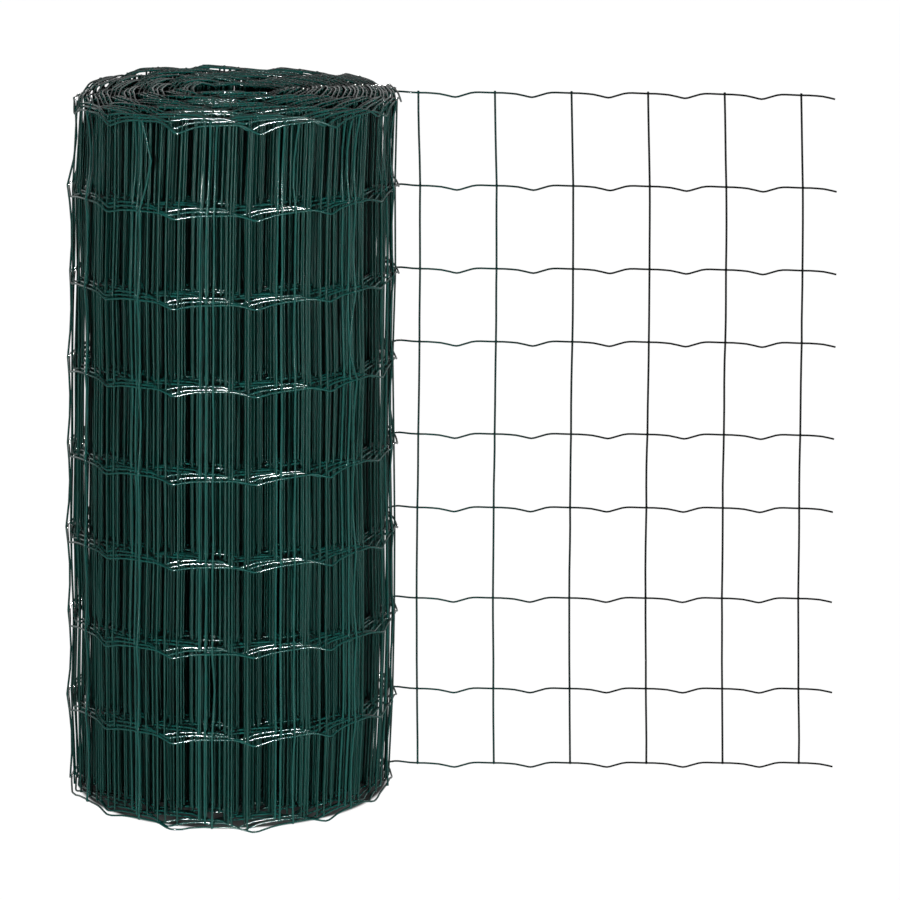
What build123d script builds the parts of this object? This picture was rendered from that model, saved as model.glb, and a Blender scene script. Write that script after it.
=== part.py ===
from build123d import *
from math import asin, cos, degrees, pi, radians, sin
import os

# Roll of welded wire fencing: plastic-coated line wires with a small crimp in each mesh,
# and straight stays welded across them. Most of the length is wound up and stands on its end,
# and the free end is bent out of the outermost turn into a flat sheet of welded mesh.
# Millimetres. Origin on the roll's axis at the floor, +Z up the axis,
# +X along the free end, and -Y towards the front of the roll.

# Wires and mesh
line_wire = 2.2         # diameter of the long crimped wires, with their coating
stay_wire = 2.4         # diameter of the upright wires, with their coating
weld_sink = 0.5         # how far a stay is pressed into a line wire at each weld
stay_pitch = 88.0       # from one stay to the next along the fence
stay_overhang = 1.9     # how far a stay runs on past the outermost line wires
row_gaps = (89, 109, 108, 88, 110, 85, 96, 107)   # rows of the free end, from the bottom up
wire_sides = 6          # sides of a wire's section

# Crimp in each mesh of a line wire, which bends first when the fence is wound
crimp_depth = 5.0       # how far its bottom lies below the welds
crimp_start = 0.12      # share of a mesh that stays level after a weld
crimp_knee = 0.30       # share of a mesh where the slow slope turns steep
crimp_knee_drop = 0.25  # share of the depth that is reached at that knee
crimp_bottom = 0.48     # share of a mesh where the bottom lies
crimp_end = 0.74        # share of a mesh where the wire is level again

# Wound part
bore_radius = 48.0      # open middle, left by the winding mandrel
turn_count = 27.0       # number of turns
turn_pitch = 4.95       # from one turn to the next
turn_width = 2.4        # width of a turn as it shows on the ends
turn_relief = 6.0       # depth of the gap between two turns on the ends
turn_corners = 11       # corners of each turn, about one at each crimp
hoop_rise = 4.5         # how far the crimped corners stand out from the stays
hoop_slope = 5.0        # height of the slope on each side of a hoop's crest

# Free end
free_stays = 6          # stays in the flat sheet
free_tail = 40.0        # line wire past the last stay
sheet_setback = 40.0    # the sheet's plane behind the roll's axis
lead_radius = 46.0      # radius of the bend that turns the outer turn into the sheet

# Heights
bottom_line = crimp_depth + line_wire / 2
row_heights = [bottom_line + sum(row_gaps[:i]) for i in range(len(row_gaps) + 1)]
top_line = row_heights[-1]
overall_height = top_line + stay_overhang
stay_foot = bottom_line - stay_overhang
hoop_pitch = (top_line - bottom_line) / len(row_gaps)

# Radii of the wound part
roll_radius = bore_radius + turn_count * turn_pitch + turn_width
outer_turn = roll_radius - stay_wire + weld_sink - line_wire / 2

# Lead-out: the bend touches the outermost turn at one end and the sheet's plane at the other
lead_angle = degrees(asin((sheet_setback + lead_radius) / (outer_turn + lead_radius)))
bend_centre_x = (outer_turn + lead_radius) * cos(radians(lead_angle))
first_stay = bend_centre_x
stay_setback = line_wire / 2 + stay_wire / 2 - weld_sink


def turn_corner(number, offset):
    """One corner of the polygonal spiral, counted from the bore and moved outwards by an offset.

    The spiral grows clockwise seen from above and ends where the free end leaves the roll.
    """
    angle = radians(lead_angle) + 2 * pi * (turn_count - number / turn_corners)
    radius = bore_radius + turn_pitch * number / turn_corners + offset
    return (radius * cos(angle), radius * sin(angle))


def turn_gap():
    """Gap between the turns as it shows on an end: a polygonal spiral with a corner at each crimp."""
    last = int((turn_count - 1) * turn_corners)
    inner = [turn_corner(i, turn_width) for i in range(last + 1)]
    outer = [turn_corner(i, turn_pitch) for i in range(last, -1, -1)]
    outline = Polyline(*inner, *outer, close=True)
    return extrude(make_face(outline), turn_relief)


def hoop(height):
    """Points of one hoop of crimped corners on the turned profile, from its foot upwards."""
    return [
        (roll_radius, height - hoop_slope),
        (roll_radius + hoop_rise, height),
        (roll_radius, height + hoop_slope),
    ]


def turned_blank():
    """Round roll with its bore and one hoop at each line wire."""
    side = []
    for i in range(1, len(row_gaps)):
        side += hoop(bottom_line + i * hoop_pitch)
    crest = roll_radius + hoop_rise
    foot = [(bore_radius, 0), (crest, 0), *hoop(bottom_line)[1:]]
    crown = [*hoop(top_line)[:-1], (crest, overall_height), (bore_radius, overall_height)]
    profile = Polyline(*foot, *side, *crown, close=True)
    section = make_face(Plane.XZ * profile)
    return revolve(section, Axis.Z)


def wound_roll():
    """Turned roll whose turns show on both ends."""
    gap = turn_gap()
    bottom = gap
    top = Pos(0, 0, overall_height - turn_relief) * gap
    return turned_blank() - bottom - top


def mesh_crimp(start):
    """Points of a line wire in one mesh after the weld at start, as distance and drop."""
    return [
        (start, 0),
        (start + crimp_start * stay_pitch, 0),
        (start + crimp_knee * stay_pitch, -crimp_knee_drop * crimp_depth),
        (start + crimp_bottom * stay_pitch, -crimp_depth),
        (start + crimp_end * stay_pitch, 0),
    ]


def line_wire_path(height):
    """Centre line of one line wire of the sheet: whole meshes, then the cut tail."""
    points = []
    for i in range(free_stays - 1):
        points += mesh_crimp(first_stay + i * stay_pitch)
    last_weld = first_stay + (free_stays - 1) * stay_pitch
    tail = mesh_crimp(last_weld)[:3]
    points += tail
    knee_x, knee_drop = tail[-1]
    slope = (crimp_depth + knee_drop) / ((crimp_bottom - crimp_knee) * stay_pitch)
    points.append((last_weld + free_tail, knee_drop - slope * (last_weld + free_tail - knee_x)))
    return Polyline(*[(x, sheet_setback, height + drop) for x, drop in points])


def lead_path(height):
    """Centre line of the bend from the outermost turn to the first stay of the sheet."""
    turn = 90 - lead_angle
    centre = Plane(origin=(bend_centre_x, sheet_setback + lead_radius, height))
    return centre * CenterArc((0, 0), lead_radius, 180 + lead_angle, turn)


def wire_section(path, diameter):
    """Few-sided section of a wire, square to the start of its centre line."""
    start = Plane(origin=path @ 0, x_dir=(0, 0, 1), z_dir=path % 0)
    return start * RegularPolygon(diameter / 2, wire_sides)


def crimped_wire(height):
    """One line wire of the free end, from the outermost turn to its cut tip."""
    pieces = []
    for path in (lead_path(height), line_wire_path(height)):
        section = wire_section(path, line_wire)
        pieces.append(sweep(section, path=path, transition=Transition.RIGHT))
    return pieces


def free_stay(number):
    """One stay, on the side of the sheet that was the roll's outside."""
    place = Pos(first_stay + number * stay_pitch, sheet_setback + stay_setback, stay_foot)
    bar = RegularPolygon(stay_wire / 2, wire_sides)
    return place * extrude(bar, overall_height - stay_foot)


def free_end(roll):
    """Flat welded sheet with its lead-out, cut off where it meets the roll."""
    wires = []
    for height in row_heights:
        wires += crimped_wire(height)
    stays = [free_stay(i) for i in range(free_stays)]
    sheet = wires[0].fuse(*wires[1:], *stays)
    return sheet - roll


os.makedirs("parts", exist_ok=True)
roll = wound_roll()
sheet = free_end(roll)
export_step(roll, "parts/wound_roll.step")
export_step(sheet, "parts/free_end.step")
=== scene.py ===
import logging
import math
from dataclasses import dataclass
from enum import Enum

import bpy
import numpy as np
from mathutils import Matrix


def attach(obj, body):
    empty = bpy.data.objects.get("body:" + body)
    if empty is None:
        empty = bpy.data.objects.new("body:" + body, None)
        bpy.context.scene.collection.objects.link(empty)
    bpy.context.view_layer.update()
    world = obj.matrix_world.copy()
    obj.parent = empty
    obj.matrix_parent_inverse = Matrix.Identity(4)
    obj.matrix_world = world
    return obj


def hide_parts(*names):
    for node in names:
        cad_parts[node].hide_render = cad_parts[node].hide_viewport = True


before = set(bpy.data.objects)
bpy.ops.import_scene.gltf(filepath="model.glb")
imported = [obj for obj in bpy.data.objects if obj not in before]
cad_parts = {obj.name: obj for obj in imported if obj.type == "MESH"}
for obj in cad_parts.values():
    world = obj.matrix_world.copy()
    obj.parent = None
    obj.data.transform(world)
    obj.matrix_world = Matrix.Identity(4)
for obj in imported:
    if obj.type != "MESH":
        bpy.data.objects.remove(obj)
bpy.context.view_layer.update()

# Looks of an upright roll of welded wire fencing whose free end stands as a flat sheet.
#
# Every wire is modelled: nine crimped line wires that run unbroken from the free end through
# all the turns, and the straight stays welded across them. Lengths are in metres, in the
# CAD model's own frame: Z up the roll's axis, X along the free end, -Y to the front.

MM = 0.001
LOG = logging.getLogger("wire_fencing_roll")


class Level(Enum):
    """Number of sides of a wire's section, by how well the eye can reach it."""

    FINE = 10
    PLAIN = 8
    HIDDEN = 5


def linear(hex_colour: str) -> tuple[float, float, float, float]:
    """Turn an sRGB hex colour into a linear colour.

    Args:
        hex_colour: Six hex digits with a leading hash.

    Returns:
        Red, green, blue and alpha, linear.
    """
    parts = [int(hex_colour[i:i + 2], 16) / 255 for i in (1, 3, 5)]
    flat = [c / 12.92 if c <= 0.04045 else ((c + 0.055) / 1.055) ** 2.4 for c in parts]
    return (*flat, 1.0)


def add_node(tree: bpy.types.NodeTree, kind: str, links: dict | None = None, **settings) -> bpy.types.Node:
    """Add a node with its settings and its incoming links.

    Args:
        tree: Node tree that gets the node.
        kind: Blender's name of the node type.
        links: Input name or number to the output socket that feeds it.
        **settings: Attributes of the node, or values of its inputs where the name starts with
            in_ and goes on with the input's name or number.

    Returns:
        The new node.
    """
    node = tree.nodes.new(kind)
    for name, value in settings.items():
        if name.startswith("in_"):
            socket = name[3:].replace("_", " ")
            node.inputs[int(socket) if socket.isdigit() else socket].default_value = value
        else:
            setattr(node, name, value)
    for socket, source in (links or {}).items():
        tree.links.new(source, node.inputs[socket])
    return node


def new_material(name: str) -> bpy.types.Material:
    """Make a material with an empty node tree.

    Args:
        name: Name of the material.

    Returns:
        The new material.
    """
    material = bpy.data.materials.new(name)
    material.use_nodes = True
    material.node_tree.nodes.clear()
    return material


def smooth_step(t: np.ndarray | float) -> np.ndarray | float:
    """Ease from 0 to 1 as t goes from 0 to 1."""
    t = np.clip(t, 0.0, 1.0)
    return t * t * (3 - 2 * t)


@dataclass(frozen=True)
class CoatedWireFinish:
    """Moss green soft PVC, extruded over galvanised steel wire.

    The eye sees a smooth, almost wet gloss: a thin bright line along each wire where a lamp is
    mirrored, and deep blue-green beside it. The colour drifts a little along the wires, and
    the extrusion's ripple makes the bright line come and go. The real ripple is too fine to
    show in the render, so it is drawn as coarse as it needs to show.
    """

    name: str = "pvc_coating_moss_green"
    base: str = "#053934"
    shade: str = "#042623"
    roughness: float = 0.16
    roughness_spread: float = 0.05
    ior: float = 1.54
    mottle_mm: float = 14.0
    mottle_detail: float = 3.0
    ripple_mm: float = 7.0
    ripple_detail: float = 2.0
    ripple_depth_mm: float = 0.05
    ripple_share: float = 0.12

    def build(self) -> bpy.types.Material:
        """Make the material.

        Returns:
            Node material whose colour drifts along the wires and whose skin has a slow ripple.
        """
        material = new_material(self.name)
        tree = material.node_tree
        place = add_node(tree, "ShaderNodeTexCoord")
        mottle = add_node(tree, "ShaderNodeTexNoise", {"Vector": place.outputs["Object"]},
                          in_Scale=1 / (self.mottle_mm * MM), in_Detail=self.mottle_detail)
        colour = add_node(tree, "ShaderNodeMix", {"Factor": mottle.outputs["Fac"]}, data_type="RGBA",
                          in_6=linear(self.shade), in_7=linear(self.base))
        ripple = add_node(tree, "ShaderNodeTexNoise", {"Vector": place.outputs["Object"]},
                          in_Scale=1 / (self.ripple_mm * MM), in_Detail=self.ripple_detail)
        gloss = add_node(tree, "ShaderNodeMapRange", {"Value": ripple.outputs["Fac"]},
                         in_To_Min=self.roughness - self.roughness_spread,
                         in_To_Max=self.roughness + self.roughness_spread)
        bump = add_node(tree, "ShaderNodeBump", {"Height": ripple.outputs["Fac"]},
                        in_Strength=self.ripple_share, in_Distance=self.ripple_depth_mm * MM)
        skin = add_node(tree, "ShaderNodeBsdfPrincipled",
                        {"Base Color": colour.outputs[2], "Roughness": gloss.outputs["Result"],
                         "Normal": bump.outputs["Normal"]}, in_IOR=self.ior)
        add_node(tree, "ShaderNodeOutputMaterial", {"Surface": skin.outputs["BSDF"]})
        return material


# A darker, matter copy of the same coating for the stays deep in the roll. Its darker colour is painted
# shade, standing in for the little light that arrives there: the eye sees darker, matter stays behind the
# glossy ones.
PAINTED_SHADE_COATING = CoatedWireFinish("pvc_coating_in_deep_shade", "#042D28", "#021C19",
                                  roughness=0.35, ior=1.27)


@dataclass(frozen=True)
class SteelCoreFinish:
    """Galvanised steel core, sheared at the wire's end.

    The eye sees a small dull grey face inside the ring of coating. It is under two millimetres
    wide, so its shear marks keep their true size and show only close up.
    """

    name: str = "galvanised_steel_core"
    base: str = "#8C9090"
    roughness: float = 0.45
    grain_mm: float = 0.3
    grain_detail: float = 2.0
    grain_depth_mm: float = 0.03
    grain_share: float = 0.4

    def build(self) -> bpy.types.Material:
        """Make the material.

        Returns:
            Node material of a sheared steel face.
        """
        material = new_material(self.name)
        tree = material.node_tree
        place = add_node(tree, "ShaderNodeTexCoord")
        grain = add_node(tree, "ShaderNodeTexNoise", {"Vector": place.outputs["Object"]},
                         in_Scale=1 / (self.grain_mm * MM), in_Detail=self.grain_detail)
        bump = add_node(tree, "ShaderNodeBump", {"Height": grain.outputs["Fac"]},
                        in_Strength=self.grain_share, in_Distance=self.grain_depth_mm * MM)
        face = add_node(tree, "ShaderNodeBsdfPrincipled", {"Normal": bump.outputs["Normal"]},
                        in_Metallic=1.0, in_Roughness=self.roughness, in_Base_Color=linear(self.base))
        add_node(tree, "ShaderNodeOutputMaterial", {"Surface": face.outputs["BSDF"]})
        return material


class WireMesh:
    """Collects round wires and weld beads, and turns them into one mesh object."""

    # Share of a wire's radius that its steel core fills, slope from which a wire counts as
    # upright, and rings and sides of a weld bead
    CORE_SHARE = 0.72
    STEEP = 0.7
    BEAD_RINGS = 3
    BEAD_SIDES = 6

    def __init__(self) -> None:
        """Start with no wires."""
        self.points: list[np.ndarray] = []
        self.quads: list[np.ndarray] = []
        self.ends: list[list[int]] = []
        self.cores: list[list[int]] = []
        self.count = 0

    def add_wire(self, path: np.ndarray, radius: float, level: Level) -> None:
        """Add one wire with its two sheared ends.

        Args:
            path: Centre line, one row a point.
            radius: Radius of the wire over its coating.
            level: How many sides its section gets.
        """
        sides = level.value
        step = np.diff(path, axis=0)
        step /= np.linalg.norm(step, axis=1)[:, None]
        tangent = np.vstack([step[:1], step[:-1] + step[1:], step[-1:]])
        tangent /= np.linalg.norm(tangent, axis=1)[:, None]
        upright = abs(tangent[0, 2]) >= self.STEEP
        helper = np.array([1.0, 0.0, 0.0]) if upright else np.array([0.0, 0.0, 1.0])
        side = helper[None, :] - tangent * (tangent @ helper)[:, None]
        side /= np.linalg.norm(side, axis=1)[:, None]
        other = np.cross(tangent, side)
        turn = np.arange(sides) * (2 * math.pi / sides)
        ring = (np.cos(turn)[None, :, None] * side[:, None, :]
                + np.sin(turn)[None, :, None] * other[:, None, :])
        rows = len(path)
        self.points.append((path[:, None, :] + radius * ring).reshape(-1, 3))
        index = self.count + np.arange(rows * sides).reshape(rows, sides)
        ahead = np.roll(index, -1, axis=1)
        quads = np.stack([index[:-1], ahead[:-1], ahead[1:], index[1:]], axis=-1)
        self.quads.append(quads.reshape(-1, 4))
        self.count += rows * sides
        for row, flip in ((0, True), (rows - 1, False)):
            self.add_end(path[row], ring[row], index[row], radius, flip)

    def add_end(self, centre: np.ndarray, ring: np.ndarray, rim: np.ndarray, radius: float,
                flip: bool) -> None:
        """Close a wire's end with a ring of coating around the steel core.

        Args:
            centre: Point on the centre line.
            ring: Unit directions of the rim.
            rim: Indices of the rim's vertices.
            radius: Radius of the wire over its coating.
            flip: Whether the end faces against the path.
        """
        inner = self.count + np.arange(len(rim))
        self.points.append(centre[None, :] + self.CORE_SHARE * radius * ring)
        self.count += len(rim)
        quads = np.stack([rim, inner, np.roll(inner, -1), np.roll(rim, -1)], axis=-1)
        self.ends.extend((quads[:, ::-1] if flip else quads).tolist())
        core = inner.tolist()
        self.cores.append(core[::-1] if flip else core)

    def add_bead(self, centre: np.ndarray, along: np.ndarray, out: np.ndarray,
                 size: tuple[float, float, float]) -> None:
        """Add one weld bead, a small lump where the coating has run together.

        Args:
            centre: Middle of the bead.
            along: Unit direction of the line wire.
            out: Unit direction away from the roll's axis.
            size: Half sizes along the line wire, outwards and upwards.
        """
        rings, sides = self.BEAD_RINGS, self.BEAD_SIDES
        up = np.array([0.0, 0.0, 1.0])
        points = [centre - up * size[2]]
        for ring in range(rings):
            height = math.sin((ring + 1 - (rings + 1) / 2) * math.pi / (rings + 1))
            wide = math.sqrt(1 - height * height)
            for k in range(sides):
                a = 2 * math.pi * k / sides
                spoke = along * size[0] * math.cos(a) + out * size[1] * math.sin(a)
                points.append(centre + up * size[2] * height + wide * spoke)
        points.append(centre + up * size[2])
        foot = self.count
        crown = foot + len(points) - 1
        first = foot + 1
        last = first + (rings - 1) * sides
        for k in range(sides):
            ahead = (k + 1) % sides
            self.ends.append([foot, first + ahead, first + k])
            for low in range(first, last, sides):
                high = low + sides
                self.ends.append([low + k, low + ahead, high + ahead, high + k])
            self.ends.append([crown, last + k, last + ahead])
        self.points.append(np.array(points))
        self.count += len(points)

    def to_object(self, name: str, coating: bpy.types.Material,
                  core: bpy.types.Material) -> bpy.types.Object:
        """Make the mesh object and put it in the scene.

        Args:
            name: Name of the object.
            coating: Material of the wires' coating.
            core: Material of the sheared steel ends.

        Returns:
            The new object.
        """
        sides = np.concatenate(self.quads).tolist() if self.quads else []
        faces = sides + self.ends + self.cores
        mesh = bpy.data.meshes.new(name)
        mesh.from_pydata(np.concatenate(self.points).tolist(), [], faces)
        mesh.materials.append(coating)
        mesh.materials.append(core)
        is_core = np.arange(len(faces)) >= len(faces) - len(self.cores)
        mesh.polygons.foreach_set("material_index", is_core.astype(np.int32))
        mesh.polygons.foreach_set("use_smooth", ~is_core)
        mesh.update()
        piece = bpy.data.objects.new(name, mesh)
        bpy.context.scene.collection.objects.link(piece)
        return piece


@dataclass
class FenceLayout:
    """Where every weld of the fence lies: flat in the free end, then wound up around the core.

    A place along the fence is a number of meshes from the first stay of the free end,
    positive into the roll and negative along the flat sheet. Depth in the roll is 0 at
    the outermost turn and 1 at the bore.
    """

    # Wires and mesh
    line_radius: float = 1.1 * MM
    stay_radius: float = 1.2 * MM
    weld_sink: float = 0.5 * MM
    mesh: float = 88.0 * MM
    crimp_depth: float = 5.0 * MM
    overhang: float = 1.9 * MM

    # Rows from the bottom up, in millimetres: gaps between them in the flat sheet, how far each
    # has slipped to the right in the sheet and in the roll, and how much higher it stands in
    # the sheet than the gaps give; then how far the sheet's far top corner droops
    row_gaps: tuple[float, ...] = (89, 109, 108, 88, 110, 85, 96, 107)
    row_slips: tuple[float, ...] = (-1.5, -2.0, -2.3, -1.3, -0.1, 1.5, 2.3, 2.6, 0.7)
    roll_slips: tuple[float, ...] = (0, 0, 0, 0, 0, 0, 0, 0.6, 3.6)
    row_rises: tuple[float, ...] = (0.2, 1.5, 1.6, 1.5, 0.3, -1.4, -1.6, -1.8, -2.5)
    far_droop: float = 3.0 * MM

    # Winding: three turns at a time hold the same number of meshes, so that their crimps nest
    bore: float = 48.0 * MM
    turn_pitch: float = 4.95 * MM
    turn_width: float = 2.4 * MM
    nested_turns: int = 3
    meshes_in_turn: tuple[float, ...] = (13.09, 12.0, 10.0, 9.0, 8.0, 7.0, 6.0, 5.0, 4.0)

    # Free end, and the bend that leads to it from the outermost turn
    sheet_setback: float = 40.0 * MM
    lead_radius: float = 46.0 * MM
    free_stays: int = 6
    free_tail: float = 40.0 * MM
    back_slack: float = 39.4 * MM
    slack_over: float = 7.0

    # Plan of the loose roll: pressed flat and moved back towards the bore
    tightness: float = 6.0 * MM
    flatness: float = 0.30
    bore_back: float = 10.0 * MM
    point_size: float = 1.0 * MM
    point_width: float = 24.0 * MM
    point_from: float = 0.06
    point_over: float = 0.2
    dent_size: float = 1.1 * MM

    # Stance of the loose roll: wider at its foot, leaning, and higher at its back left
    girth: float = 1.034
    spread: float = 0.0381
    lean: float = 10.5 * MM
    shift: float = 1.1 * MM
    heave: float = 5.5 * MM
    foot_sag: float = 2.0 * MM
    foot_pinch: float = 0.02
    pinch_from: float = 0.375

    # Stance of the flat sheet: drawn in a little, and fanning out upwards
    sheet_pull: float = 0.0082
    fan: float = 0.0297

    # Turns that have slid up along the roll
    rise: float = 8.0 * MM
    rise_even: float = 0.55
    rise_front: float = 0.45
    rise_from: float = 0.35
    rise_over: float = 2.2
    core_rise: float = 3.5 * MM

    # Unevenness of the welds and crimps
    weld_out: float = 0.55 * MM
    weld_along: float = 1.6 * MM
    wire_out: float = 0.45 * MM
    wire_up: float = 0.5 * MM
    dip_range: tuple[float, float] = (0.75, 1.2)
    corner_range: tuple[float, float] = (0.8, 1.5)
    seed: int = 7

    # Meshes over which the roll's shape fades in behind the flat sheet
    UNEVEN_OVER = 2.0
    LOOSE_OVER = 3.0
    EVEN_ROWS_OVER = 4.0

    # Waves of a dent around the roll and their strength, and waves of the rise along the
    # fence as strength, radians a mesh and start
    DENT_WAVES = ((2, 1.0), (3, 1.0), (4, 0.7))
    RISE_WAVES = ((0.12, 0.21, 1.0), (0.08, 0.083, 0.0))

    def __post_init__(self) -> None:
        """Work out the radii, the lead-out and the slight unevenness of every weld."""
        bottom = self.crimp_depth + self.line_radius
        self.rows = len(self.row_gaps) + 1
        self.sheet_heights = bottom + np.concatenate([[0], np.cumsum(self.row_gaps)]) * MM
        self.roll_heights = np.linspace(self.sheet_heights[0], self.sheet_heights[-1], self.rows)
        self.roll_heights[0] -= self.foot_sag
        groups = len(self.meshes_in_turn)
        self.turn_knots = self.nested_turns * np.arange(groups + 1.0)
        self.mesh_knots = self.nested_turns * np.concatenate([[0], np.cumsum(self.meshes_in_turn)])
        roll_radius = self.bore + self.turn_knots[-1] * self.turn_pitch + self.turn_width
        self.outer_turn = roll_radius - 2 * self.stay_radius + self.weld_sink - self.line_radius
        reach = self.outer_turn + self.lead_radius
        self.lead_angle = math.asin((self.sheet_setback + self.lead_radius) / reach)
        self.first_stay = reach * math.cos(self.lead_angle)
        self.lead_length = (math.pi / 2 - self.lead_angle) * self.lead_radius
        self.last_stay = int(self.mesh_knots[-1] + (self.lead_length - self.back_slack) / self.mesh)
        self.stay_offset = self.line_radius + self.stay_radius - self.weld_sink
        self.draw_unevenness()

    def draw_unevenness(self) -> None:
        """Draw how far each weld and crimp is off its even place, the same in every run."""
        chance = np.random.default_rng(self.seed)
        count = self.last_stay + 2
        each_wire = (self.rows, count)
        self.shift_out = chance.normal(0, self.weld_out, count)
        self.shift_along = chance.normal(0, self.weld_along, count)
        self.row_out = chance.normal(0, self.wire_out, each_wire)
        self.row_up = chance.normal(0, self.wire_up, each_wire)
        self.dip = chance.uniform(*self.dip_range, each_wire)
        self.corner = chance.uniform(*self.corner_range, each_wire)
        self.dent_phase = chance.uniform(0, 2 * math.pi, (self.rows, len(self.DENT_WAVES)))

    def at_welds(self, table: np.ndarray, place: np.ndarray) -> np.ndarray:
        """Read a table that has one value a weld at places in between, and zero in the sheet."""
        ramp = smooth_step(place / self.UNEVEN_OVER)
        return np.interp(place, np.arange(len(table)), table) * ramp

    def wound_length(self, place: np.ndarray) -> np.ndarray:
        """Length of fence wound between the lead-out and a place."""
        slack = self.back_slack * smooth_step(place / self.slack_over)
        return place * self.mesh - self.lead_length + slack

    def turns_at(self, length: np.ndarray) -> np.ndarray:
        """Turns wound up over a length of fence."""
        return np.interp(length / self.mesh, self.mesh_knots, self.turn_knots)

    def turns(self, place: np.ndarray) -> np.ndarray:
        """Turns wound up at a place, and none in the sheet and its bend."""
        return self.turns_at(np.maximum(self.wound_length(place), 0))

    def radius_at(self, place: np.ndarray) -> np.ndarray:
        """Radius of the turn at a place."""
        return self.outer_turn - self.turn_pitch * self.turns(place)

    def heading(self, place: np.ndarray) -> np.ndarray:
        """Direction of a place of the roll from its axis, in radians from X towards Y."""
        return self.lead_angle + 2 * math.pi * self.turns(place)

    def plan(self, place: np.ndarray, out: np.ndarray, along: np.ndarray) -> tuple[np.ndarray, np.ndarray]:
        """Plan of places along the fence.

        Args:
            place: Places along the fence, in meshes.
            out: How far each lies outside the fence's middle line.
            along: How far each is moved along the fence, into the roll.

        Returns:
            Points as x and y, and unit directions out of the roll as x and y.
        """
        point = np.zeros((len(place), 2))
        away = np.zeros((len(place), 2))
        travel = place * self.mesh + along
        flat = place <= 0
        point[flat, 0] = self.first_stay - travel[flat]
        point[flat, 1] = self.sheet_setback
        away[flat, 1] = 1.0
        bend = (~flat) & (place * self.mesh < self.lead_length)
        angle = math.pi / 2 + travel[bend] / self.lead_radius
        away[bend] = np.stack([-np.cos(angle), np.sin(angle)], axis=1)
        centre = np.array([self.first_stay, self.sheet_setback + self.lead_radius])
        point[bend] = centre - self.lead_radius * away[bend]
        wound = (~flat) & (~bend)
        turns = self.turns_at(self.wound_length(place[wound]) + along[wound])
        heading = self.lead_angle + 2 * math.pi * turns
        away[wound] = np.stack([np.cos(heading), np.sin(heading)], axis=1)
        depth = np.clip(turns / self.turn_knots[-1], 0, 1)
        packed = self.outer_turn - self.turn_pitch * turns + self.tightness * np.sin(math.pi * depth)
        point[wound] = self.flatten((packed + out[wound])[:, None] * away[wound], depth)
        point[~wound] += out[~wound, None] * away[~wound]
        return point, away

    def flatten(self, flat: np.ndarray, depth: np.ndarray) -> np.ndarray:
        """Press the inner turns flat from front to back, and move them towards the back.

        Args:
            flat: Points as x and y.
            depth: How deep in the roll each turn lies.

        Returns:
            The moved points.
        """
        pressed = flat.copy()
        pressed[:, 1] = pressed[:, 1] * (1 - self.flatness * depth ** 2) + self.bore_back * depth
        tent = np.maximum(0.0, 1 - (flat[:, 1] / self.point_width) ** 2)
        point = self.point_size * smooth_step((depth - self.point_from) / self.point_over)
        pressed[:, 0] += np.sign(flat[:, 0]) * point * tent
        return pressed

    def dent(self, row: int, flat: np.ndarray) -> np.ndarray:
        """How far a row of the roll is pressed in or bulges out, the same for all its turns.

        Args:
            row: The row, counted from the bottom.
            flat: Points as x and y.

        Returns:
            Distance outwards for each point.
        """
        heading = np.arctan2(flat[:, 1], flat[:, 0])
        waves = zip(self.DENT_WAVES, self.dent_phase[row])
        return self.dent_size * sum(size * np.sin(k * heading + phase) for (k, size), phase in waves)

    def height(self, row: int, place: np.ndarray) -> np.ndarray:
        """Height of a row's welds, which drifts from the uneven sheet to the even turns.

        Args:
            row: The row, counted from the bottom.
            place: Places along the fence.

        Returns:
            Height for each place.
        """
        top = self.rows - 1
        share = smooth_step(place / self.EVEN_ROWS_OVER)
        far = np.clip(-place / (self.free_stays - 1), 0, 1) ** 2
        sheet = self.sheet_heights[row] + self.row_rises[row] * MM - self.far_droop * far * row / top
        rolled = self.roll_heights[row] + (self.heave_at(place) if row == top else 0.0)
        return sheet * (1 - share) + rolled * share + self.lift(place)

    def heave_at(self, place: np.ndarray) -> np.ndarray:
        """How much higher the roll's top edge stands at its back left."""
        heading = self.heading(place)
        return 2 * self.heave * np.maximum(0.0, -np.cos(heading)) * np.maximum(0.0, np.sin(heading))

    def lift(self, place: np.ndarray) -> np.ndarray:
        """How far the turns have slid up along the roll, turn by turn and most of all at the front.

        Args:
            place: Places along the fence.

        Returns:
            Distance upwards for each place.
        """
        turns = self.turns(place)
        front = self.rise_even - self.rise_front * np.sin(self.heading(place))
        wave = sum(size * np.sin(place * pace + start) for size, pace, start in self.RISE_WAVES)
        inwards = 1 - np.exp(-np.maximum(turns - self.rise_from, 0) / self.rise_over)
        return self.rise * front * inwards * (1 + wave) + self.core_rise * turns / self.turn_knots[-1]

    def settle(self, points: np.ndarray, place: np.ndarray) -> np.ndarray:
        """Let the turns settle as in a loose roll: wider at the foot, and leaning a little.

        Args:
            points: Points of the tight upright roll and its flat sheet, one row each.
            place: Places of those points along the fence.

        Returns:
            The settled points.
        """
        share = smooth_step(place / self.LOOSE_OVER)
        height = self.sheet_heights[-1] - self.sheet_heights[0]
        level = (points[:, 2] - self.sheet_heights[0]) / height - 0.5
        scale = 1 + share * (self.girth - 1 - self.spread * level)
        pinch = smooth_step((-level - self.pinch_from) / (0.5 - self.pinch_from))
        settled = points.copy()
        settled[:, :2] *= scale[:, None]
        settled[:, 0] *= 1 - share * self.foot_pinch * pinch
        settled[:, 0] += share * (self.lean * level + self.shift)
        reach = self.first_stay - settled[:, 0]
        sheet = self.first_stay - reach * (1 - self.sheet_pull - self.fan * level)
        settled[:, 0] = share * settled[:, 0] + (1 - share) * sheet
        return settled


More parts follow.
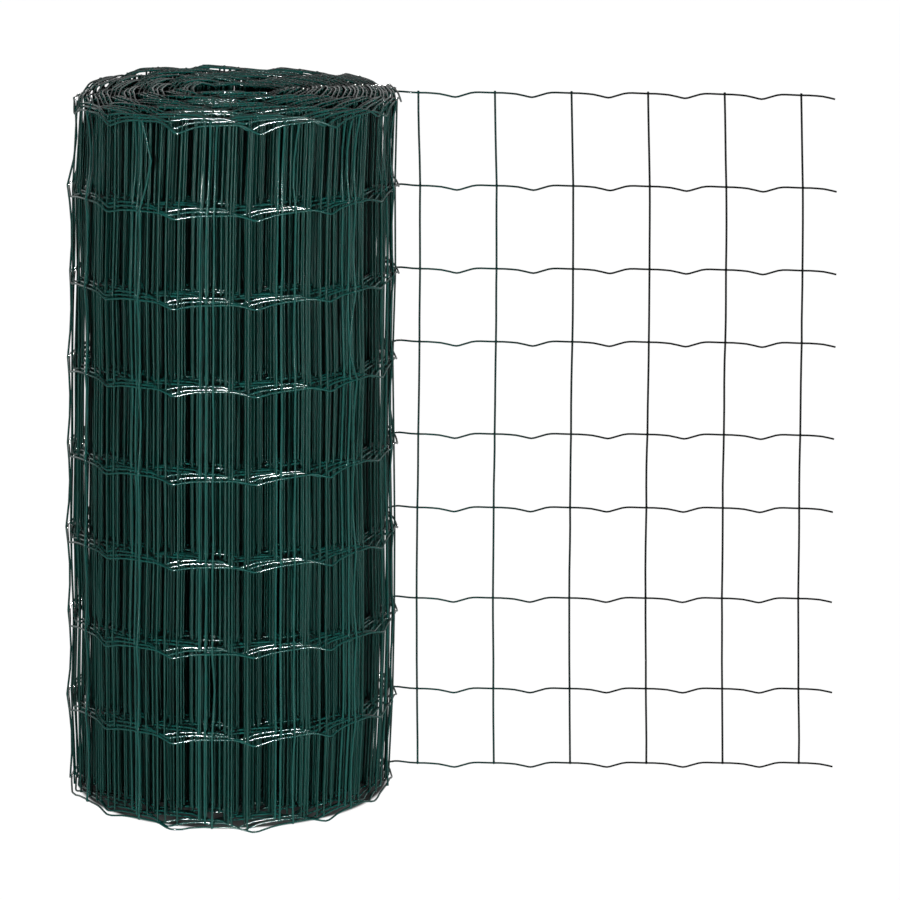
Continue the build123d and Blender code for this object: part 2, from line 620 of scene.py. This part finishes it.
@dataclass
class LineWire:
    """One of the long wires, crimped once in each mesh.

    Its row is counted from the bottom. A share is a part of a mesh, counted from the mesh's
    inner stay towards the free end.
    """

    layout: FenceLayout
    row: int

    # Shares at which the centre line has points, where it shows and deep in the roll
    SHARES = (0.0, 0.10, 0.20, 0.28, 0.38, 0.44, 0.48, 0.52, 0.58, 0.68, 0.74, 0.80, 0.90)
    INNER_SHARES = (0.0, 0.20, 0.38, 0.48, 0.58, 0.74, 0.88)
    INNER_PLACE = 60
    INNER_TAIL = 0.3

    # Crimp as a drop at each share, in parts of its depth, and the deeper crimps of the top wire
    CRIMP_SHARE = (0.0, 0.10, 0.18, 0.28, 0.38, 0.44, 0.48, 0.52, 0.58, 0.68, 0.74, 0.80, 0.90, 1.0)
    CRIMP_DROP = (0.0, 0.02, 0.10, 0.27, 0.64, 0.90, 1.0, 0.90, 0.58, 0.06, -0.09, -0.11, -0.05, 0.0)
    EDGE_MESHES = 30
    EDGE_DIP = 0.75

    # Corner that a wound wire makes at each crimp: its limits, and how much of it is left in the
    # innermost turns and at the roll's left and right
    CORNER_FROM = 0.6
    KINK_LIMIT = 6.5 * MM
    KINK_ANGLE = 0.6
    INNER_CORNER = 0.6
    ASIDE_CORNER = 0.4
    ASIDE_LOSS = 0.3
    ASIDE_LOSS_OVER = 0.15

    def places(self) -> np.ndarray:
        """Find the places of the points of the centre line.

        Returns:
            Places from the cut tip to the inner end.
        """
        lay = self.layout
        last_free = 1 - lay.free_stays
        tip = last_free - lay.free_tail / lay.mesh
        shown = [k - share for k in range(last_free, self.INNER_PLACE) for share in self.SHARES]
        inner = [k - share for k in range(self.INNER_PLACE, lay.last_stay + 1)
                 for share in self.INNER_SHARES]
        everything = np.unique(np.round(np.array([*shown, *inner]), 5))
        return everything[(everything >= tip) & (everything <= lay.last_stay + self.INNER_TAIL)]

    def kink(self, place: np.ndarray, share: np.ndarray, cell: np.ndarray) -> np.ndarray:
        """How far the wire stands out between its welds, where it bends at its crimps.

        Args:
            place: Places along the fence.
            share: Share of each place in its mesh.
            cell: Number of its mesh.

        Returns:
            Distance outwards for each place.
        """
        lay = self.layout
        radius = lay.radius_at(place)
        girth = radius / lay.outer_turn
        off = np.minimum(share, 1 - share) * lay.mesh / radius
        corner = np.where(place > self.CORNER_FROM, lay.corner[self.row][cell], 0.0)
        corner = corner * (self.INNER_CORNER + (1 - self.INNER_CORNER) * girth)
        aside = self.ASIDE_CORNER - self.ASIDE_LOSS * smooth_step((1 - girth) / self.ASIDE_LOSS_OVER)
        corner = corner * (aside + (1 - aside) * np.abs(np.sin(lay.heading(place))))
        bulge = radius * (1 / np.cos(np.minimum(off, self.KINK_ANGLE)) - 1)
        return corner * np.minimum(bulge, self.KINK_LIMIT)

    def centre(self, place: np.ndarray) -> tuple[np.ndarray, np.ndarray]:
        """Centre line of the wire at places along the fence.

        Args:
            place: Places along the fence.

        Returns:
            Points, one row each, and unit directions out of the roll as x and y.
        """
        lay, row = self.layout, self.row
        share = np.ceil(place) - place
        drop = np.interp(share, self.CRIMP_SHARE, self.CRIMP_DROP)
        cell = np.clip(np.ceil(place).astype(int), 0, lay.last_stay + 1)
        dip = np.where(place > 0, lay.dip[row][cell], 1.0)
        if row == lay.rows - 1:
            dip = np.where((place > 1) & (place < self.EDGE_MESHES), dip + self.EDGE_DIP, dip)
        out = (self.kink(place, share, cell) + lay.at_welds(lay.shift_out, place)
               + lay.at_welds(lay.row_out[row], place))
        flat, away = lay.plan(place, out, lay.at_welds(lay.shift_along, place))
        wound = smooth_step(place / lay.LOOSE_OVER)
        flat = flat + (wound * lay.dent(row, flat))[:, None] * away
        flat[:, 0] += ((1 - wound) * lay.row_slips[row] + wound * lay.roll_slips[row]) * MM
        up = lay.height(row, place) - dip * drop * lay.crimp_depth + lay.at_welds(lay.row_up[row], place)
        up = np.maximum(up, lay.line_radius)
        return lay.settle(np.column_stack([flat, up]), place), away

    def path(self) -> np.ndarray:
        """Centre line of the whole wire, one row a point."""
        return self.centre(self.places())[0]

    def weld(self, place: float) -> tuple[np.ndarray, np.ndarray, np.ndarray]:
        """Weld of this wire with a stay.

        Args:
            place: Place of the stay along the fence.

        Returns:
            Middle of the line wire there, direction along it, and direction out of the roll.
        """
        points, away = self.centre(np.array([float(place)]))
        out_way = np.array([away[0, 0], away[0, 1], 0.0])
        run_way = np.array([-away[0, 1], away[0, 0], 0.0])
        return points[0], run_way, out_way


@dataclass
class Fence:
    """The whole fence: line wires, stays and weld beads, dressed in its coating."""

    layout: FenceLayout
    coating: bpy.types.Material
    # Copy of the coating whose darker colour is painted shade, for the stays deep in the roll
    painted_shade_coating: bpy.types.Material
    core: bpy.types.Material

    # Stays that are made with all their bends, and the denser straight ones deeper in
    outer_stays: int = 39
    shadowed_within: float = 176 * MM
    core_within: float = 150 * MM
    shadowed_share: int = 3
    core_share: int = 10
    jitter: float = 0.35

    # Ends of the stays past their outermost welds, and the lowest that a foot may be
    foot: float = 0.9 * MM
    lowest: float = 0.3 * MM

    # Bow of a stay between two welds: at random, and pressed inwards in the outer turns
    bow: float = 0.5 * MM
    sheet_bow_share: float = 0.5
    twist_share: float = 0.4
    waist: float = 3.2 * MM
    top_waist: float = 6.5 * MM
    outermost: int = 14

    # Knocked stays: place, gap from the bottom, share of the gap's height, push in millimetres
    bent: tuple[tuple[int, int, float, float], ...] = (
        (8, 7, 0.56, 11.0), (10, 7, 0.35, -3.5), (11, 5, 0.30, -7.0), (6, 3, 0.45, 4.0), (9, 1, 0.55, 2.5))

    # Weld beads: half sizes along the wire, outwards and upwards, and how far out they sit
    bead_size: tuple[float, float, float] = (2.0 * MM, 1.4 * MM, 1.8 * MM)
    bead_out: float = 0.6

    # Shares of a gap's height at which a bent stay has points
    STAY_SHARES = (0.3, 0.56, 0.8)

    def __post_init__(self) -> None:
        """Describe the nine line wires, and start the draws for the stays."""
        self.lines = [LineWire(self.layout, row) for row in range(self.layout.rows)]
        self.chance = np.random.default_rng(self.layout.seed + 1)

    def finish_piece(self, mesh: WireMesh, name: str, nodes: tuple[str, ...],
                     coating: bpy.types.Material | None = None) -> bpy.types.Object:
        """Turn collected wires into a piece that stands for CAD nodes.

        Args:
            mesh: The collected wires.
            name: Name of the piece.
            nodes: CAD nodes that it stands for.
            coating: Material of its wires, where it isn't the usual one.

        Returns:
            The piece.
        """
        piece = mesh.to_object(name, coating or self.coating, self.core)
        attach(piece, "root")
        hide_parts(*nodes)
        triangles = sum(len(face.vertices) - 2 for face in piece.data.polygons)
        LOG.info("%s: %d triangles", name, triangles)
        return piece

    def build_line_wires(self) -> None:
        """Make the nine line wires, each unbroken from its tip to the core."""
        for row, line in enumerate(self.lines):
            mesh = WireMesh()
            mesh.add_wire(line.path(), self.layout.line_radius, Level.PLAIN)
            self.finish_piece(mesh, f"line_wire_{row + 1}", ("free_end", "wound_roll"))

    def foot_below(self, spot: np.ndarray) -> np.ndarray:
        """Foot of a stay, just under the lowest weld and never below the floor."""
        return np.array([spot[0], spot[1], max(spot[2] - self.foot, self.lowest)])

    def pressed_in(self, place: float, gap: int, out: np.ndarray) -> float:
        """How far a stay is pressed inwards halfway between two welds.

        Args:
            place: Place of the stay along the fence.
            gap: Number of the gap between two line wires, from the bottom.
            out: Direction out of the roll.

        Returns:
            Distance inwards, most in the top gap at the roll's left and right.
        """
        if place <= 0:
            return 0.0
        if gap == self.layout.rows - 2:
            return self.waist + (self.top_waist - self.waist) * abs(out[0])
        return self.waist if place < self.outermost else 0.0

    def stay_path(self, place: int) -> np.ndarray:
        """Centre line of one stay, from its foot to its top.

        Args:
            place: Place of the stay along the fence, below one in the flat sheet.

        Returns:
            One row a point, in metres.
        """
        lay = self.layout
        welds = [line.weld(place) for line in self.lines]
        spots = [spot + out * lay.stay_offset for spot, _, out in welds]
        run, out = welds[0][1], welds[0][2]
        points = [self.foot_below(spots[0])]
        for gap, (low, high) in enumerate(zip(spots[:-1], spots[1:])):
            points.append(low)
            size = self.bow * (1.0 if place > 0 else self.sheet_bow_share)
            aside, outwards = self.chance.normal(0, size, 2)
            lean = self.chance.normal(0, size * self.twist_share)
            outwards -= self.pressed_in(place, gap, out)
            knocks = [(share, push * MM) for at, where, share, push in self.bent
                      if (at, where) == (place, gap)]
            for share in self.STAY_SHARES:
                swell = math.sin(math.pi * share)
                twist = math.sin(2 * math.pi * share)
                knock = sum(push * min(share / at, (1 - share) / (1 - at)) for at, push in knocks)
                sideways = aside * swell + lean * twist + knock
                points.append(low + (high - low) * share + run * sideways + out * outwards * swell)
        points.append(spots[-1])
        points.append(spots[-1] + np.array([0, 0, lay.overhang if place <= 0 else self.foot]))
        return np.array(points)

    def inner_places(self, smallest: float, largest: float, parts: int) -> np.ndarray:
        """Places of the stays in the inner turns, where the eye meets a dense thicket of wires.

        Args:
            smallest: Radius of the innermost of the turns.
            largest: Radius of the outermost of the turns.
            parts: Stays in each mesh.

        Returns:
            Places along the fence, apart from those of the outer stays.
        """
        lay = self.layout
        places = np.arange(1, lay.last_stay * parts + 1) / parts
        radius = lay.radius_at(places)
        within = (radius >= smallest) & (radius < largest)
        taken = (places <= self.outer_stays) & (places == np.round(places))
        places = places[within & ~taken]
        return places + self.chance.uniform(-self.jitter, self.jitter, len(places)) / parts

    def inner_stay_paths(self, places: np.ndarray) -> np.ndarray:
        """Centre lines of stays that run straight from weld to weld.

        Args:
            places: Places of the stays along the fence.

        Returns:
            One path a stay, with one row a point.
        """
        spots = []
        for line in self.lines:
            points, away = line.centre(places)
            points[:, :2] += self.layout.stay_offset * away
            spots.append(points)
        feet = np.array([self.foot_below(spot) for spot in spots[0]])
        tops = spots[-1] + np.array([0, 0, self.foot])
        return np.stack([feet, *spots, tops], axis=1)

    def build_shown_stays(self) -> None:
        """Make the stays of the flat sheet and of the outer turns."""
        lay = self.layout
        shown = {
            "free_end_stays": (range(1 - lay.free_stays, 1), ("free_end",)),
            "outer_turn_stays": (range(1, self.outer_stays + 1), ("wound_roll",)),
        }
        for name, (places, nodes) in shown.items():
            mesh = WireMesh()
            for place in places:
                mesh.add_wire(self.stay_path(place), lay.stay_radius, Level.FINE)
            self.finish_piece(mesh, name, nodes)

    def build_inner_stays(self) -> None:
        """Make the denser stays behind them, which keep the daylight out as a full roll does."""
        inner = {
            "middle_turn_stays": self.inner_places(
                self.core_within, self.shadowed_within, self.shadowed_share),
            "core_turn_stays": self.inner_places(0.0, self.core_within, self.core_share),
        }
        for name, places in inner.items():
            mesh = WireMesh()
            for path in self.inner_stay_paths(places):
                mesh.add_wire(path, self.layout.stay_radius, Level.HIDDEN)
            # These stays wear the copy of the coating whose darker colour is painted shade.
            self.finish_piece(mesh, name, ("wound_roll",), self.painted_shade_coating)

    def build_beads(self) -> None:
        """Make the weld beads where the eye reaches them: outside, and on both ends."""
        lay = self.layout
        mesh = WireMesh()
        for place in range(1 - lay.free_stays, lay.last_stay + 1):
            lines = self.lines if place <= self.outer_stays else (self.lines[0], self.lines[-1])
            for line in lines:
                spot, run, out = line.weld(place)
                mesh.add_bead(spot + out * lay.line_radius * self.bead_out, run, out, self.bead_size)
        self.finish_piece(mesh, "weld_beads", ("free_end", "wound_roll"))

    def build(self) -> None:
        """Make every piece of the fence."""
        self.build_line_wires()
        self.build_shown_stays()
        self.build_inner_stays()
        self.build_beads()


@dataclass(frozen=True)
class SoftBox:
    """Upright soft box that faces the roll, with a grid that keeps its light narrow.

    The azimuth is in degrees to the right of straight in front, the distance is from the
    roll's axis, the power is in watts, the spread in degrees, and it faces the axis at the
    height of its aim.
    """

    name: str
    azimuth: float
    distance: float
    height: float
    power: float
    width: float
    tall: float
    spread: float
    aim: float = 0.40

    def build(self) -> None:
        """Place the lamp, aimed at the roll's middle."""
        data = bpy.data.lights.new(self.name, "AREA")
        data.shape = "RECTANGLE"
        data.size, data.size_y = self.width, self.tall
        data.energy = self.power
        data.spread = math.radians(self.spread)
        lamp = bpy.data.objects.new(self.name, data)
        a = math.radians(self.azimuth)
        lamp.location = (self.distance * math.sin(a), -self.distance * math.cos(a), self.height)
        lamp.rotation_euler = (math.pi / 2 - math.atan((self.height - self.aim) / self.distance), 0, a)
        lamp.visible_camera = False
        bpy.context.scene.collection.objects.link(lamp)


@dataclass
class Studio:
    """White floor and surround, two soft boxes in front and one behind, two dim rims, the camera."""

    # Camera, in metres, degrees and millimetres of focal length
    camera_distance: float = 5.5
    camera_azimuth: float = 2.6
    camera_height: float = 1.7991
    camera_tilt: float = 14.367
    camera_pan: float = 0.033
    lens: float = 199.92
    sensor: float = 36.0
    far_clip: float = 50.0

    # Surround: its light, and what reflections show of it, elsewhere and behind the roll
    white: str = "#FFFFFF"
    surround: float = 0.055
    dark_room: float = 0.04
    backdrop_mirror: float = 0.6
    backdrop_from: float = 0.3
    backdrop_full: float = 0.9

    # Floor: its glow and how much of it reflections show, and the painted shadow under the roll, a disc
    # where the glow fades to the grey matt floor
    floor_size: float = 12.0
    floor_grey: str = "#6C6C6C"
    floor_glow: float = 0.82
    floor_mirror: float = 0.35
    glow_strength: float = 1.23
    painted_shadow_start: float = 0.175
    painted_shadow_end: float = 0.180
    painted_shadow_left: float = 0.004

    lamps: tuple[SoftBox, ...] = (
        SoftBox("left_soft_box", -20, 3.2, 0.68, 3.4, 0.18, 1.3, 13),
        SoftBox("right_soft_box", 35, 3.2, 0.68, 3.1, 0.18, 1.3, 13),
        SoftBox("back_soft_box", 180, 3.2, 0.38, 3.0, 0.18, 0.64, 13),
        SoftBox("left_rim_box", -125, 3.0, 0.68, 2.2, 0.5, 1.5, 120),
        SoftBox("right_rim_box", 125, 3.0, 0.68, 2.2, 0.5, 1.5, 120),
    )

    def build_camera(self) -> None:
        """Place the camera, level sideways and looking a little down."""
        data = bpy.data.cameras.new("camera")
        data.lens = self.lens
        data.sensor_width = self.sensor
        data.clip_end = self.far_clip
        camera = bpy.data.objects.new("camera", data)
        a = math.radians(self.camera_azimuth)
        camera.location = (self.camera_distance * math.sin(a), -self.camera_distance * math.cos(a),
                           self.camera_height)
        camera.rotation_euler = (math.radians(90 - self.camera_tilt), 0, math.radians(self.camera_pan))
        bpy.context.scene.collection.objects.link(camera)
        bpy.context.scene.camera = camera

    def build_world(self) -> None:
        """White surround where it is looked at, and a dim even light elsewhere.

        Reflections show the white backdrop behind the roll and a darker room on the camera's side.
        """
        world = bpy.data.worlds.new("white_surround")
        world.use_nodes = True
        tree = world.node_tree
        tree.nodes.clear()
        ray = add_node(tree, "ShaderNodeLightPath").outputs
        straight = add_node(tree, "ShaderNodeMath", {0: ray["Is Camera Ray"], 1: ray["Is Transmission Ray"]},
                            operation="MAXIMUM")
        way = add_node(tree, "ShaderNodeTexCoord")
        axes = add_node(tree, "ShaderNodeSeparateXYZ", {0: way.outputs["Generated"]})
        backdrop = add_node(tree, "ShaderNodeMapRange", {"Value": axes.outputs["Y"]},
                            in_From_Min=self.backdrop_from, in_From_Max=self.backdrop_full,
                            in_To_Min=self.dark_room, in_To_Max=self.backdrop_mirror)
        mirrored = add_node(tree, "ShaderNodeMath", {0: ray["Is Glossy Ray"], 1: backdrop.outputs["Result"]},
                            operation="MULTIPLY")
        seen = add_node(tree, "ShaderNodeMath", {0: straight.outputs[0], 1: mirrored.outputs[0]},
                        operation="MAXIMUM")
        strength = add_node(tree, "ShaderNodeMapRange", {"Value": seen.outputs[0]}, in_To_Min=self.surround)
        light = add_node(tree, "ShaderNodeBackground", {"Strength": strength.outputs["Result"]},
                         in_Color=linear(self.white))
        add_node(tree, "ShaderNodeOutputWorld", {"Surface": light.outputs[0]})
        bpy.context.scene.world = world

    def paper(self) -> bpy.types.Material:
        """Make the material of the floor.

        Returns:
            White seamless paper: the eye sees pure white, apart from a painted shadow under the roll, where
                the glow fades out to the grey matt floor.
        """
        material = new_material("white_paper_floor")
        tree = material.node_tree
        ray = add_node(tree, "ShaderNodeLightPath").outputs
        mirrored = add_node(tree, "ShaderNodeMath", {0: ray["Is Glossy Ray"]}, operation="MULTIPLY",
                            in_1=self.floor_mirror)
        first = add_node(tree, "ShaderNodeMath", {0: ray["Is Camera Ray"], 1: mirrored.outputs[0]},
                         operation="MAXIMUM")
        seen = add_node(tree, "ShaderNodeMath", {0: first.outputs[0], 1: ray["Is Transmission Ray"]},
                        operation="MAXIMUM")
        # Painted shadow: the glow fades out over a disc under the roll, leaving the grey matt floor, which
        # then takes the roll's real shadow.
        spot = add_node(tree, "ShaderNodeTexCoord")
        centred = add_node(tree, "ShaderNodeVectorMath", {0: spot.outputs["Object"]}, operation="ADD",
                           in_1=(self.painted_shadow_left, 0.0, 0.0))
        reach = add_node(tree, "ShaderNodeVectorMath", {0: centred.outputs["Vector"]}, operation="LENGTH")
        open_floor = add_node(tree, "ShaderNodeMapRange", {"Value": reach.outputs["Value"]},
                              in_From_Min=self.painted_shadow_start, in_From_Max=self.painted_shadow_end,
                              in_To_Max=self.floor_glow)
        matt = add_node(tree, "ShaderNodeBsdfDiffuse", in_Color=linear(self.floor_grey))
        glow = add_node(tree, "ShaderNodeEmission", in_Strength=self.glow_strength)
        share = add_node(tree, "ShaderNodeMath", {0: seen.outputs[0], 1: open_floor.outputs["Result"]},
                         operation="MULTIPLY")
        mix = add_node(tree, "ShaderNodeMixShader",
                       {0: share.outputs[0], 1: matt.outputs[0], 2: glow.outputs[0]})
        add_node(tree, "ShaderNodeOutputMaterial", {"Surface": mix.outputs[0]})
        return material

    def build_floor(self) -> None:
        """Lay the level floor, and keep it apart from the object."""
        size = self.floor_size
        corners = [(-size, -size, 0), (size, -size, 0), (size, size, 0), (-size, size, 0)]
        mesh = bpy.data.meshes.new("floor")
        mesh.from_pydata(corners, [], [(0, 1, 2, 3)])
        mesh.materials.append(self.paper())
        floor = bpy.data.objects.new("floor", mesh)
        bpy.context.scene.collection.objects.link(floor)

    def build(self) -> None:
        """Make the surroundings, the lamps and the camera."""
        bpy.context.scene.view_settings.view_transform = "Standard"
        self.build_camera()
        self.build_world()
        self.build_floor()
        for lamp in self.lamps:
            lamp.build()


def main() -> None:
    """Build the studio and the fence."""
    logging.basicConfig(level=logging.INFO, format="%(name)s: %(message)s")
    Studio().build()
    fence = Fence(FenceLayout(), CoatedWireFinish().build(), PAINTED_SHADE_COATING.build(),
                  SteelCoreFinish().build())
    fence.build()


if __name__ == "__main__":
    main()
